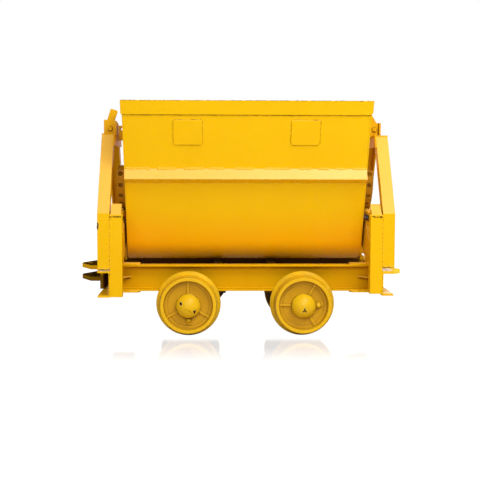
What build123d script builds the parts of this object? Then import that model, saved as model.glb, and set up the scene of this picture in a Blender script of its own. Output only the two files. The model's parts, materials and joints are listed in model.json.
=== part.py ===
from build123d import *
import math
import os

# Side-tipping mine car. Millimetres. X runs along the track, -Y is the near side, +Z is up.
# The floor at z = 0 is the lowest point of the wheel flanges.

# Wheels and axles
wheel_base = 600.0
flange_radius = 170.0
tread_radius = 150.0
tread_fall = 4.0
wheel_back = 260.0
flange_root = 286.0
wheel_face = 380.0
rim_thickness = 17.0
rim_back_radius = 122.0
web_back = 318.0
web_face = 344.0
hub_radius = 60.0
hub_back = 288.0
hub_face = 374.0
axle_radius = 32.0
rib_count = 3
rib_sunk = 4.0
rib_thickness = 10.0
rib_depth = 11.0
web_step_radius = 110.0
web_step = 4.0
plug_radius = 13.0
plug_height = 15.0
plug_distance = 78.0
cap_radius = 61.0
cap_flange = 5.0
cap_lip = 1.5
cap_dome = 35.0
journal_clearance = 0.05
flange_lip = 12.0
flange_round = 6.0
tread_chamfer = 3.0
casting_draft = 4.0

# Side and end beams, rolled channels
channel_height = 140.0
channel_width = 58.0
channel_web = 6.0
channel_flange = 10.0
channel_root = 6.0
beam_bottom = 232.0
side_web_y = 192.0
end_beam_top = 358.0
end_beam_bottom = {-1: 222.0, 1: 230.0}
end_beam_width = {-1: 63.0, 1: 58.0}
frame_half_width = 440.0
cross_beam_x = 120.0
cross_width = 46.0
corner_plate = 8.0
corner_plate_reach = 140.0
corner_plate_overhang = 4.0
corner_plate_bevel = 16.0
corner_rib = 6.0
corner_rib_reach = 44.0
corner_rib_root = 97.0

# Axle pedestals under the side beams
pedestal_y = 221.0
pedestal_thickness = 14.0
pedestal_top_in = 197.0
pedestal_top_out = 150.0
pedestal_bottom_half = 96.0
pedestal_bottom = 98.0
bearing_radius = 52.0
bearing_length = 60.0

# Corner posts and their sloping caps
end_clearance = 5.5
post_width = 63.0
post_depth = 60.0
post_wall = 8.0
post_foot = {-1: 224.0, 1: 240.0}
post_top = 645.0
post_cap_rise = 54.0
post_cap = 8.0
post_cap_inset = 5.5

# End frames: two bent channel legs and a head
leg_width = 62.0
leg_depth = 58.0
leg_wall = 7.0
leg_bend_z = 652.0
leg_top_below_pin = 36.0
leg_top_y = 181.0
head_plate_height = 58.0
head_plate = 8.0
head_cap = 7.0
cheek_y = 64.0
cheek = 9.0
cheek_above_pin = 48.0
cheek_nib_reach = 9.0
cheek_nib_middle = 20.0
cheek_nib_low = 30.0
cheek_nib_top = 4.0
head_back = 9.0
head_front = 8.0
head_front_top = 22.0

# The two ends were fitted by hand and differ a little. Each row: side, sign of X, lower end of the
# legs, lean of the lever's handle, how far outside the end beam's web the latch pin, the cheeks'
# inner and outer edges and the head's back plate are, and how much the legs and the cheeks were
# cut down at the top.
end_rows = (
    ("left", -1, 365.0, 18.0, 27.0, 3.0, 60.0, 62.0, 0.0, 0.0),
    ("right", 1, 375.0, 30.0, 9.0, -13.0, 26.0, 44.0, 6.0, 12.0),
)
catch_to_pin = 18.0
latch_pin_radius = 7.0
latch_pin_head = 12.0
latch_pin_head_height = 12.0
pin_clearance = 0.1
lever_width = 40.0
lever_offset = 18.0
lever_thickness = 16.0
lever_reach = 105.0
lever_boss = 24.0
lever_round = 7.0
tail_round = 3.0
tail_reach = 66.0
tail_width = 18.0
tail_angle = 150.0
tail_slot_half = 14.0
tail_slot_depth = 38.0
tail_slot_web = 8.0

# Tipping track across each end
track_top = 652.0
track_inset = 4.0
track_width = 52.0
track_height = 62.0
track_flange = 13.0
track_web = 9.0

# Toothed half-moon rockers
rocker_radius = 200.0
rocker_disc = 11.5
rocker_width = 44.0
rocker_rim = 17.0
rocker_half_angle = 95.0
rocker_hub = 44.0
tooth_pitch_angle = 18.0
tooth_count = 11
hole_radius = 12.5
hole_over = 6.0
stud_radius = 8.5
stud_tip_radius = 5.0
stud_height = 13.0
roll_gap = 0.3
boss_radius = 26.0
boss_flange_radius = 34.0
boss_flange = 6.0
boss_clearance = 0.05
rocker_spokes = (-60.0, 0.0, 60.0)
rocker_spoke = 12.0

# Tub
tub_half_length = 628.5
tub_wall = 6.0
end_wall = 5.0
rim_top = 1220.0
wall_top_y = 485.0
wall_slope = 24.0
tub_bottom = 385.0
rim_height = 70.0
rim_band = 6.0
rim_end_band = 8.0
rim_corner = {-1: 5.0, 1: 16.0}
ledge_leg = 59.0
ledge_thickness = 6.0
ledge_z = 841.5
patch_x = 300.0
patch_length = 146.0
patch_height = 134.0
patch_below_band = 26.0
patch_thickness = 5.0
patch_corner = 14.0
catch_below_band = 40.0
catch_height = 80.0
catch_half = 26.0
catch_ear = 12.0
catch_gap = 5.2
catch_hole = 9.0

# End braces below the track
brace_inset = 8.0
brace_plate = 9.0
brace_half_top = 236.0
brace_shoulder_z = 441.0
brace_foot_y = 258.0
brace_crown_y = 64.0
brace_crown_z = 472.0
brace_stiffener = 40.0

# Couplings
bumper_plate = 17.0
bumper_half = 150.0
jaw_thickness = 22.0
jaw_gap = 40.0
jaw_middle = 317.0
jaw_nose_half = 22.0
jaw_taper = 61.0
jaw_reach = 127.0
tongue_thickness = 21.0
tongue_middle = 313.0
tongue_half = 66.0
tongue_nose_half = 20.0
tongue_taper = 33.0
tongue_reach = 112.0
coupling_hole = 17.0
coupling_hole_back = 38.0

# Sizes that follow from the ones above
wheel_x = wheel_base / 2
axle_z = flange_radius
post_inner_x = tub_half_length + end_clearance
end_web_x = post_inner_x + post_width
rocker_inner_x = tub_half_length + rocker_disc
track_inner_x = rocker_inner_x + track_inset
brace_x = post_inner_x + brace_inset
catch_top = rim_top - rim_height - catch_below_band
catch_bottom = catch_top - catch_height
latch_pin_z = catch_top - catch_to_pin
cheek_top_z = latch_pin_z + cheek_above_pin
leg_top_z = latch_pin_z - leg_top_below_pin
beam_top = beam_bottom + channel_height
end_flange_x = {side: end_web_x + end_beam_width[side] for side in (-1, 1)}
jaw_root_x = end_flange_x[-1] + bumper_plate
jaw_tip_x = end_flange_x[-1] + jaw_reach
tongue_tip_x = end_flange_x[1] + tongue_reach
leg_inner_x = end_web_x
leg_outer_x = leg_inner_x + leg_width
leg_lean = math.degrees(math.atan2(frame_half_width - leg_top_y, leg_top_z - leg_bend_z))
post_outer_x = end_web_x
post_inner_y = frame_half_width - post_depth
roll_centre_z = track_top + rocker_radius
rocker_x = rocker_inner_x + rocker_width / 2
stud_pitch = rocker_radius * math.radians(tooth_pitch_angle)
slope_tan = math.tan(math.radians(wall_slope))
slope_cos = math.cos(math.radians(wall_slope))
slope_sin = math.sin(math.radians(wall_slope))
sides = (("left", -1), ("right", 1))
first_rib = {-1: 90.0, 1: 180.0}
flanks = (("near", -1), ("far", 1))


def wall_y(z):
    """Outer half width of the tub's sloping side at height z."""
    return wall_top_y - (rim_top - z) * slope_tan


# The rounded bottom is the circle that touches both sloping sides.
bottom_centre_z = (tub_bottom + wall_y(0) * slope_cos) / (1 - slope_sin)
bottom_radius = bottom_centre_z - tub_bottom

os.makedirs("parts", exist_ok=True)


def save(name, shape):
    export_step(shape, f"parts/{name}.step")


def joined(pieces):
    """Puts solids together in one shape: those that touch become one solid."""
    solids = [s for piece in pieces for s in piece.solids()]
    result = solids[0].fuse(*solids[1:]) if len(solids) > 1 else solids[0]
    return Compound(result.solids())


def apart(pieces):
    """Keeps solids that don't touch together in one node."""
    return Compound([s for piece in pieces for s in piece.solids()])


def block(x0, x1, y0, y1, z0, z1):
    """A box between two corners, given in any order."""
    size = (abs(x1 - x0), abs(y1 - y0), abs(z1 - z0))
    return Pos((x0 + x1) / 2, (y0 + y1) / 2, (z0 + z1) / 2) * Box(*size)


def slab_x(points, x0, x1):
    """A plate with its outline given as (y, z) points, from x0 to x1."""
    plane = Plane(origin=(min(x0, x1), 0, 0), x_dir=(0, 1, 0), z_dir=(1, 0, 0))
    return extrude(plane * make_face(Polyline(*points, close=True)), abs(x1 - x0))


def slab_y(points, y0, y1):
    """A plate with its outline given as (x, z) points, from y0 to y1."""
    plane = Plane(origin=(0, max(y0, y1), 0), x_dir=(1, 0, 0), z_dir=(0, -1, 0))
    return extrude(plane * make_face(Polyline(*points, close=True)), abs(y1 - y0))


def slab_z(points, z0, z1):
    """A plate with its outline given as (x, y) points, from z0 to z1."""
    plane = Plane(origin=(0, 0, min(z0, z1)))
    return extrude(plane * make_face(Polyline(*points, close=True)), abs(z1 - z0))


def rod_x(radius, x0, x1, y, z):
    plane = Plane(origin=(min(x0, x1), y, z), z_dir=(1, 0, 0))
    return extrude(plane * Circle(radius), abs(x1 - x0))


def rod_y(radius, y0, y1, x, z):
    plane = Plane(origin=(x, max(y0, y1), z), x_dir=(1, 0, 0), z_dir=(0, -1, 0))
    return extrude(plane * Circle(radius), abs(y1 - y0))


def rod_z(radius, z0, z1, x, y):
    plane = Plane(origin=(x, y, min(z0, z1)))
    return extrude(plane * Circle(radius), abs(z1 - z0))


def channel_face(web_back, flange_tip, low, high, web, flange, root):
    """Channel outline in its own plane: across, then up. The web's back is at web_back."""
    out = 1 if flange_tip > web_back else -1
    points = (
        (web_back, low),
        (flange_tip, low),
        (flange_tip, low + flange),
        (web_back + out * web, low + flange),
        (web_back + out * web, high - flange),
        (flange_tip, high - flange),
        (flange_tip, high),
        (web_back, high),
    )
    face = make_face(Polyline(*points, close=True))
    inner = [v for v in face.vertices()
             if abs(v.X - (web_back + out * web)) < 0.01 and low + 0.01 < v.Y < high - 0.01]
    return fillet(inner, root) if root > 0 else face


def side_beam(flank):
    face = channel_face(side_web_y, side_web_y + channel_width, beam_bottom, beam_top,
                        channel_web, channel_flange, channel_root)
    plane = Plane(origin=(-end_web_x, 0, 0), x_dir=(0, 1, 0), z_dir=(1, 0, 0))
    beam = extrude(plane * face, 2 * end_web_x)
    return beam if flank > 0 else beam.mirror(Plane.XZ)


def end_beam(side):
    face = channel_face(end_web_x, end_flange_x[side], end_beam_bottom[side], end_beam_top,
                        channel_web, channel_flange, channel_root)
    plane = Plane(origin=(0, frame_half_width, 0), x_dir=(1, 0, 0), z_dir=(0, -1, 0))
    beam = extrude(plane * face, 2 * frame_half_width)
    return beam if side > 0 else beam.mirror(Plane.YZ)


def cross_beams():
    """Two channels between the side beams, back to back either side of the middle."""
    beams = []
    for side in (-1, 1):
        face = channel_face(cross_beam_x, cross_beam_x + cross_width, beam_bottom, beam_top,
                            channel_web, channel_flange, channel_root)
        plane = Plane(origin=(0, side_web_y, 0), x_dir=(1, 0, 0), z_dir=(0, -1, 0))
        beam = extrude(plane * face, 2 * side_web_y)
        beams.append(beam if side > 0 else beam.mirror(Plane.YZ))
    return apart(beams)


def corner_plates():
    """Plates over and under each joint of side beam and end beam, with a cut corner."""
    outer_y = side_web_y + channel_width + corner_plate_overhang
    plates = []
    for side in (-1, 1):
        for flank in (-1, 1):
            for low in (beam_top, beam_bottom - corner_plate):
                inner_x = end_web_x - corner_plate_reach
                points = (
                    (side * end_web_x, flank * side_web_y),
                    (side * end_web_x, flank * outer_y),
                    (side * (inner_x + corner_plate_bevel), flank * outer_y),
                    (side * inner_x, flank * (outer_y - corner_plate_bevel)),
                    (side * inner_x, flank * side_web_y),
                )
                plates.append(slab_z(points, low, low + corner_plate))
    return apart(plates)


def corner_ribs():
    """Small flat ribs half way up the side beams, in the corner at each post."""
    web_face_y = side_web_y + channel_web
    middle = (beam_bottom + beam_top) / 2
    ribs = []
    for side in (-1, 1):
        for flank in (-1, 1):
            points = (
                (side * end_web_x, flank * web_face_y),
                (side * end_web_x, flank * (side_web_y + channel_width)),
                (side * (end_web_x - corner_rib_reach), flank * (side_web_y + channel_width)),
                (side * (end_web_x - corner_rib_root), flank * web_face_y),
            )
            ribs.append(slab_z(points, middle - corner_rib / 2, middle + corner_rib / 2))
    return apart(ribs)


def pedestals(flank):
    """The two axle pedestals under one side beam: a tapered plate, a sole and a bearing.

    The plate reaches further towards the middle of the frame than towards its end.
    """
    inner_y = flank * (pedestal_y - pedestal_thickness / 2)
    outer_y = flank * (pedestal_y + pedestal_thickness / 2)
    top = beam_bottom
    found = []
    for side in (-1, 1):
        x = side * wheel_x
        x_in = x - side * pedestal_top_in
        x_out = x + side * pedestal_top_out
        points = (
            (x_in, top),
            (x - side * pedestal_bottom_half, pedestal_bottom),
            (x + side * pedestal_bottom_half, pedestal_bottom),
            (x_out, top),
        )
        plate = slab_y(points, inner_y, outer_y)
        bearing_in = flank * (pedestal_y - bearing_length / 2)
        bearing_out = flank * (pedestal_y + bearing_length / 2)
        bearing = rod_y(bearing_radius, bearing_in, bearing_out, x, axle_z)
        sole = block(x_in, x_out, flank * side_web_y, flank * (side_web_y + channel_width),
                     top, top - channel_flange)
        bore = rod_y(axle_radius + journal_clearance, bearing_in, bearing_out, x, axle_z)
        found.append((plate + bearing + sole) - bore)
    return apart(found)


def post(side, flank):
    """Corner post: a folded box section closed by a narrower wedge that slopes up to the track."""
    x0 = side * post_inner_x
    x1 = side * post_outer_x
    outer = flank * frame_half_width
    inner = flank * post_inner_y
    foot = post_foot[side]
    body = block(x0, x1, inner, outer, foot, post_top)
    core = block(x0 + side * post_wall, x1 - side * post_wall,
                 inner + flank * post_wall, outer - flank * post_wall, foot, post_top - post_cap)
    wedge = slab_x(((outer, post_top - post_cap), (outer, post_top),
                    (inner, post_top + post_cap_rise), (inner, post_top - post_cap)),
                   x0 + side * post_cap_inset, x1 - side * post_cap_inset)
    return (body - core) + wedge


def leg(side, flank, low_end, top_cut):
    """Bent channel leg of an end frame: the web faces outwards, the flanges point inwards."""
    lean_tan = math.tan(math.radians(leg_lean))
    turn = leg_depth * math.tan(math.radians(leg_lean / 2))

    def outline(inset, low, high):
        """Side view of the leg between two heights, set in from the outer face."""
        outer = frame_half_width - inset
        inner = frame_half_width - leg_depth
        bend_out = leg_bend_z - inset * math.tan(math.radians(leg_lean / 2))
        bend_in = leg_bend_z - turn
        top_out = outer - (high - bend_out) * lean_tan
        top_in = inner - (high - bend_in) * lean_tan
        points = ((outer, low), (outer, bend_out), (top_out, high),
                  (top_in, high), (inner, bend_in), (inner, low))
        return [(flank * y, z) for y, z in points]

    top = leg_top_z - top_cut
    whole = slab_x(outline(0, low_end, top), side * leg_inner_x, side * leg_outer_x)
    hollow = slab_x(outline(leg_wall, low_end, top),
                    side * (leg_inner_x + leg_wall), side * (leg_outer_x - leg_wall))
    return whole - hollow


def head(row):
    """Head of an end frame: tie plate, cap, and the box of plates that holds the latch lever."""
    name, side, low_end, lean, pin_out, in_out, out_out, back_out, leg_cut, cheek_cut = row
    cheek_in = end_web_x + in_out
    cheek_out = end_web_x + out_out
    back_x = end_web_x + back_out
    cheek_top = cheek_top_z - cheek_cut
    lean_tan = math.tan(math.radians(leg_lean))
    top = leg_top_z - leg_cut
    low = top - head_plate_height
    half_top = leg_top_y + leg_cut * lean_tan
    half_low = half_top + head_plate_height * lean_tan
    tie = slab_x(((-half_low, low), (half_low, low), (half_top, top), (-half_top, top)),
                 side * (leg_inner_x - head_plate), side * leg_inner_x)
    cap = block(side * (leg_inner_x - head_plate), side * leg_outer_x,
                -half_top, half_top, top, top + head_cap)
    shelf = block(side * cheek_in, side * leg_outer_x,
                  -(cheek_y + cheek), cheek_y + cheek, top, top + head_cap)
    back = block(side * (back_x - head_back), side * back_x,
                 -(cheek_y + cheek), cheek_y + cheek, top + head_cap, cheek_top)
    front = block(side * (cheek_in - head_front), side * cheek_in,
                  -(cheek_y + cheek), cheek_y + cheek, top, cheek_top_z - head_front_top)
    bore = rod_y(latch_pin_radius + pin_clearance, -(cheek_y + cheek), cheek_y + cheek,
                 side * (end_web_x + pin_out), latch_pin_z)
    pieces = [tie, cap, shelf, back, front]
    for flank in (-1, 1):
        outline = (
            (side * cheek_in, top + head_cap),
            (side * cheek_in, cheek_top - cheek_nib_low),
            (side * (cheek_in - cheek_nib_reach), cheek_top - cheek_nib_middle),
            (side * (cheek_in + cheek_nib_top), cheek_top),
            (side * cheek_out, cheek_top),
            (side * cheek_out, top + head_cap),
        )
        pieces.append(slab_y(outline, flank * cheek_y, flank * (cheek_y + cheek)))
    tail_slot = block(side * tub_half_length, side * (leg_outer_x - head_back - tail_slot_web),
                      -tail_slot_half, tail_slot_half, top - tail_slot_depth, top + head_cap)
    front_slot = block(side * tub_half_length, side * cheek_in,
                       -tail_slot_half, tail_slot_half, top, cheek_top_z)
    handle_slot = block(side * (back_x - head_back), side * back_x,
                        -tail_slot_half, tail_slot_half, top + head_cap, cheek_top)
    return joined(pieces) - bore - tail_slot - front_slot - handle_slot


def latch_pins():
    """Pin through each pair of cheeks, with a round head on both ends."""
    pins = []
    end = cheek_y + cheek
    for name, side, low_end, lean, pin_out in (row[:5] for row in end_rows):
        pin_x = side * (end_web_x + pin_out)
        shank = rod_y(latch_pin_radius, -end, end, pin_x, latch_pin_z)
        heads = [rod_y(latch_pin_head, flank * end, flank * (end + latch_pin_head_height),
                       pin_x, latch_pin_z) for flank in (-1, 1)]
        pins.append(joined([shank] + heads))
    return apart(pins)


def lever(row):
    """Latch lever: a flat bar with a rounded boss on the pin and a short locking tail."""
    name, side, low_end, lean, pin_out = row[:5]
    half = lever_thickness / 2

    def bar(length, width, angle, offset, end_round):
        """Bar from the pin outwards; the angle is from straight up, towards the tub."""
        piece = Pos(side * offset, 0, length / 2) * Box(width, lever_thickness, length)
        piece = fillet(piece.edges().filter_by(Axis.Y).group_by(Axis.Z)[-1], end_round)
        return Rot(0, -side * angle, 0) * piece

    boss = rod_y(lever_boss, -half, half, 0, 0)
    handle = bar(lever_reach, lever_width, lean, lever_offset, lever_round)
    tail = bar(tail_reach, tail_width, tail_angle + lean, 0, tail_round)
    shape = joined([boss, handle, tail])
    shape = shape - rod_y(latch_pin_radius + pin_clearance, -half, half, 0, 0)
    return Pos(side * (end_web_x + pin_out), 0, latch_pin_z) * shape


def track(side):
    """Tipping track: a channel lying across the end, with a row of tapered studs on top."""
    inner = side * track_inner_x
    outer = side * (track_inner_x + track_width)
    web = side * (track_inner_x + track_width - track_web)
    low = track_top - track_height
    top_flange = block(inner, outer, -post_inner_y, post_inner_y, track_top - track_flange, track_top)
    web_plate = block(web, outer, -post_inner_y, post_inner_y, low, track_top)
    low_flange = block(inner, outer, -post_inner_y, post_inner_y, low, low + track_flange)
    pieces = [top_flange, web_plate, low_flange]
    reach = (tooth_count - 1) // 2
    for k in range(-reach, reach + 1):
        stud = Pos(side * rocker_x, k * stud_pitch, track_top + stud_height / 2) * Cone(
            stud_radius, stud_tip_radius, stud_height)
        pieces.append(stud)
    return joined(pieces)


def rocker(side):
    """Half-moon rocker: a rim with a hole for each stud, a web plate, spokes and a hub."""
    x0 = side * rocker_inner_x
    x1 = side * (rocker_inner_x + rocker_width)
    radius = rocker_radius - roll_gap
    plate_in = side * tub_half_length
    plate_out = side * rocker_inner_x
    centre = (0, roll_centre_z)

    def sector(r):
        """Half-moon outline of radius r, closed by a straight edge between its horns."""
        half = math.radians(rocker_half_angle)
        ends = [(s * r * math.sin(half), roll_centre_z - r * math.cos(half)) for s in (-1, 1)]
        arc = ThreePointArc(ends[0], (0, roll_centre_z - r), ends[1])
        return make_face([arc.edges()[0], Line(ends[1], ends[0]).edges()[0]])

    def plate(face, a, b):
        plane = Plane(origin=(min(a, b), 0, 0), x_dir=(0, 1, 0), z_dir=(1, 0, 0))
        return extrude(plane * face, abs(b - a))

    rim = plate(sector(radius), x0, x1) - plate(sector(radius - rocker_rim), x0, x1)
    disc = plate(sector(radius), plate_in, plate_out)
    hub = rod_x(rocker_hub, plate_in, x1, *centre)
    pieces = [rim, disc, hub]
    for angle in rocker_spokes:
        length = radius - rocker_rim / 2
        spoke = Pos(side * rocker_x, 0, -length / 2) * Box(rocker_width, rocker_spoke, length)
        pieces.append(Pos(0, 0, roll_centre_z) * Rot(angle, 0, 0) * spoke)
    shape = joined(pieces)
    cuts = []
    reach = (tooth_count - 1) // 2
    for k in range(-reach, reach + 1):
        hole = Pos(side * rocker_x, 0, -radius) * Cylinder(hole_radius, 2 * rocker_rim + hole_over)
        cuts.append(Pos(0, 0, roll_centre_z) * Rot(k * tooth_pitch_angle, 0, 0) * hole)
    cuts.append(rod_x(boss_radius + boss_clearance, plate_in, x1, *centre))
    for cut in cuts:
        shape = shape - cut
    return Compound(shape.solids())


def roll_bosses():
    """Round centre bosses of the rockers: they travel with the roll but don't turn."""
    bosses = []
    for name, side in sides:
        inner = side * (tub_half_length + boss_flange / 2)
        face = side * (rocker_inner_x + rocker_width)
        body = rod_x(boss_radius, inner, face, 0, roll_centre_z)
        flange = rod_x(boss_flange_radius, face + side * journal_clearance,
                       face + side * boss_flange, 0, roll_centre_z)
        neck = rod_x(boss_radius, face, face + side * boss_flange, 0, roll_centre_z)
        bosses.append(joined([body, neck, flange]))
    return apart(bosses)


def end_brace(side):
    """Gusset plate under the track, open either side of its middle stiffener."""
    low = beam_top + corner_plate
    top = track_top - track_height
    half = [
        (0, top), (brace_half_top, top), (post_inner_y, brace_shoulder_z),
        (post_inner_y, low), (brace_foot_y, low), (brace_crown_y, brace_crown_z),
        (brace_stiffener, brace_crown_z), (brace_stiffener, low), (0, low),
    ]
    points = half + [(-y, z) for y, z in reversed(half[1:-1])]
    return slab_x(points, side * brace_x, side * (brace_x + brace_plate))


def tub_section(inset, top):
    """Section of the tub: sloping sides and a round bottom, set in by inset from outside."""
    radius = bottom_radius - inset
    tangent = (radius * slope_cos, bottom_centre_z - radius * slope_sin)
    side_y = wall_y(top) - inset / slope_cos
    arc = ThreePointArc((-tangent[0], tangent[1]), (0, bottom_centre_z - radius), tangent)
    right = Line(tangent, (side_y, top))
    lid = Line((side_y, top), (-side_y, top))
    left = Line((-side_y, top), (-tangent[0], tangent[1]))
    return make_face([arc.edges()[0], right.edges()[0], lid.edges()[0], left.edges()[0]])


def prism_x(face, x0, x1):
    plane = Plane(origin=(min(x0, x1), 0, 0), x_dir=(0, 1, 0), z_dir=(1, 0, 0))
    return extrude(plane * face, abs(x1 - x0))


def tub_shell():
    """The bent side and bottom plate."""
    reach = tub_half_length - end_wall
    outer = prism_x(tub_section(0, rim_top), -reach, reach)
    inner = prism_x(tub_section(tub_wall, rim_top), -reach, reach)
    return outer - inner


def tub_end(side):
    return prism_x(tub_section(0, rim_top), side * (tub_half_length - end_wall),
                   side * tub_half_length)


def rim():
    """Reinforcing band round the mouth, lying against the sloping sides."""
    low = rim_top - rim_height
    out = rim_band / slope_cos
    outer_points = ((-wall_y(low) - out, low), (wall_y(low) + out, low),
                    (wall_y(rim_top) + out, rim_top), (-wall_y(rim_top) - out, rim_top))
    inner_points = ((-wall_y(low), low), (wall_y(low), low),
                    (wall_y(rim_top), rim_top), (-wall_y(rim_top), rim_top))
    reach = tub_half_length + rim_end_band
    band = slab_x(outer_points, -reach, reach) - slab_x(inner_points, -tub_half_length,
                                                        tub_half_length)
    for name, side in sides:
        r = rim_corner[side]
        square = block(side * (reach - r), side * reach, -wall_top_y, wall_top_y, low, low + r)
        round_part = rod_y(r, -wall_top_y, wall_top_y, side * (reach - r), low + r)
        band = band - (square - round_part)
    return band


def ledge(flank):
    """Angle iron along the side, its corner outwards and both toes on the wall."""
    half = ledge_leg / math.sqrt(2)
    wall = wall_y(ledge_z)

    def at(along, out):
        """Point measured up along the sloping wall and out from it."""
        return (flank * (wall + along * slope_sin + out * slope_cos),
                ledge_z + along * slope_cos - out * slope_sin)

    step = ledge_thickness * math.sqrt(2)
    points = (at(half, 0), at(0, half), at(-half, 0), at(-half + step, 0),
              at(0, half - step), at(half - step, 0))
    return slab_x(points, -tub_half_length, tub_half_length)


def patch_plates():
    """Two plates on each side wall, high up."""
    plates = []
    for flank in (-1, 1):
        for side in (-1, 1):
            plate = Box(patch_length, patch_thickness, patch_height)
            low = plate.edges().filter_by(Axis.Y).group_by(Axis.Z)[0]
            plate = fillet(low, patch_corner)
            middle = rim_top - rim_height - patch_below_band - patch_height * slope_cos / 2
            out = patch_thickness / 2
            y = wall_y(middle) + out * slope_cos
            plates.append(Pos(side * patch_x, flank * y, middle - out * slope_sin)
                          * Rot(-flank * wall_slope, 0, 0) * plate)
    return apart(plates)


def catches():
    """Slotted catch on each end of the tub, which the lever's tail drops into."""
    found = []
    for name, side, low_end, lean, pin_out, in_out in (row[:6] for row in end_rows):
        reach = end_web_x + min(in_out - cheek_nib_reach, -head_plate) - catch_gap
        base = block(side * tub_half_length, side * (tub_half_length + catch_ear),
                     -catch_half, catch_half, catch_bottom, catch_top)
        pieces = [base]
        for flank in (-1, 1):
            ear = block(side * tub_half_length, side * reach, flank * catch_half,
                        flank * (catch_half - catch_ear), catch_bottom, catch_top)
            pieces.append(ear)
        hole = rod_y(catch_hole, -catch_half, catch_half,
                     side * (reach - 2 * catch_hole), catch_top - 2 * catch_hole)
        found.append(joined(pieces) - hole)
    return apart(found)


def nose_plate(root_x, half, taper_x, tip_x, nose_half, low, thickness):
    """Coupling plate that tapers to a blunt nose, with its pin hole."""
    points = ((root_x, -half), (taper_x, -half), (tip_x, -nose_half),
              (tip_x, nose_half), (taper_x, half), (root_x, half))
    plate = slab_z(points, low, low + thickness)
    sign = 1 if tip_x > root_x else -1
    hole = rod_z(coupling_hole, low, low + thickness, tip_x - sign * coupling_hole_back, 0)
    return plate - hole


def coupler_jaws():
    """Left coupling: an upright plate on the end beam that carries two jaws."""
    plate = block(-end_flange_x[-1], -jaw_root_x, -bumper_half, bumper_half,
                  beam_bottom, beam_top)
    pieces = [plate]
    for sign in (-1, 1):
        middle = jaw_middle + sign * (jaw_gap + jaw_thickness) / 2
        pieces.append(nose_plate(-jaw_root_x, bumper_half, -(jaw_tip_x - jaw_taper), -jaw_tip_x,
                                 jaw_nose_half, middle - jaw_thickness / 2, jaw_thickness))
    return joined(pieces)


def coupler_tongue():
    """Right coupling: one tongue from the end beam's web, which fits between the jaws."""
    return nose_plate(end_web_x + channel_web, tongue_half, tongue_tip_x - tongue_taper,
                      tongue_tip_x, tongue_nose_half, tongue_middle - tongue_thickness / 2,
                      tongue_thickness)


def wheel(side, flank):
    """Flanged wheel: rim, dished web with three ribs, hub and filler plug."""
    face_radius = tread_radius - tread_fall
    recess = face_radius - rim_thickness
    outline = (
        (axle_radius, hub_back), (hub_radius - casting_draft, hub_back), (hub_radius, web_back),
        (rim_back_radius, web_back), (rim_back_radius, wheel_back + flange_round),
        (rim_back_radius + flange_round, wheel_back), (flange_radius - flange_round, wheel_back),
        (flange_radius, wheel_back + flange_round), (flange_radius, wheel_back + flange_lip),
        (tread_radius + tread_chamfer, flange_root), (tread_radius, flange_root + flange_round),
        (face_radius, wheel_face - tread_chamfer), (face_radius - tread_chamfer, wheel_face),
        (recess, wheel_face), (recess - casting_draft, web_face),
        (web_step_radius, web_face), (web_step_radius, web_face - web_step),
        (hub_radius + casting_draft, web_face - web_step), (hub_radius, web_face),
        (hub_radius - casting_draft / 2, hub_face), (axle_radius, hub_face),
    )
    turned = revolve(make_face(Polyline(*outline, close=True)), Axis.Y, 360)
    step_y = web_face - web_step
    pieces = [turned]
    for k in range(rib_count):
        angle = first_rib[side] + k * 360 / rib_count
        length = recess - hub_radius + 2 * rib_sunk
        rib = Pos((recess + hub_radius) / 2, step_y + rib_depth / 2, 0) * Box(
            length, rib_depth, rib_thickness)
        pieces.append(Rot(0, -angle, 0) * rib)
    plug = rod_y(plug_radius, step_y, step_y + plug_height, plug_distance, 0)
    pieces.append(Rot(0, -(first_rib[side] + 180), 0) * plug)
    shape = joined(pieces)
    if flank < 0:
        shape = shape.mirror(Plane.XZ)
    return Pos(side * wheel_x, 0, axle_z) * shape


def hub_caps(side):
    """Domed caps that close the hubs."""
    caps = []
    for flank in (-1, 1):
        base = hub_face
        dome_r = cap_radius - cap_lip
        ball = (dome_r ** 2 + cap_dome ** 2) / (2 * cap_dome)
        half = math.asin(dome_r / ball) / 2
        low = base + cap_flange
        middle = (ball * math.sin(half), low + cap_dome - ball * (1 - math.cos(half)))
        arc = ThreePointArc((dome_r, low), middle, (0, low + cap_dome))
        edges = [
            Line((0, base), (cap_radius, base)).edges()[0],
            Line((cap_radius, base), (cap_radius, base + cap_flange)).edges()[0],
            Line((cap_radius, base + cap_flange), (dome_r, base + cap_flange)).edges()[0],
            arc.edges()[0],
            Line((0, base + cap_flange + cap_dome), (0, base)).edges()[0],
        ]
        cap = revolve(make_face(edges), Axis.Y, 360)
        if flank < 0:
            cap = cap.mirror(Plane.XZ)
        caps.append(Pos(side * wheel_x, 0, axle_z) * cap)
    return apart(caps)


def axle(side):
    return rod_y(axle_radius, -hub_face, hub_face, side * wheel_x, axle_z)


save("cross_beams", cross_beams())
save("corner_plates", corner_plates())
save("corner_ribs", corner_ribs())
save("latch_pins", latch_pins())
save("tub_shell", tub_shell())
save("tub_rim_band", rim())
save("patch_plates", patch_plates())
save("tub_catches", catches())
save("roll_bosses", roll_bosses())
save("coupler_jaws", coupler_jaws())
save("coupler_tongue", coupler_tongue())
for flank_name, flank in flanks:
    save(f"side_beam_{flank_name}", side_beam(flank))
    save(f"axle_pedestals_{flank_name}", pedestals(flank))
    save(f"tub_ledge_{flank_name}", ledge(flank))
for side_name, side in sides:
    save(f"end_beam_{side_name}", end_beam(side))
    save(f"track_{side_name}", track(side))
    save(f"end_brace_{side_name}", end_brace(side))
    save(f"tub_end_{side_name}", tub_end(side))
    save(f"rocker_{side_name}", rocker(side))
    save(f"axle_{side_name}", axle(side))
    save(f"hub_caps_{side_name}", hub_caps(side))
    for flank_name, flank in flanks:
        save(f"post_{side_name}_{flank_name}", post(side, flank))
        save(f"wheel_{side_name}_{flank_name}", wheel(side, flank))
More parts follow.
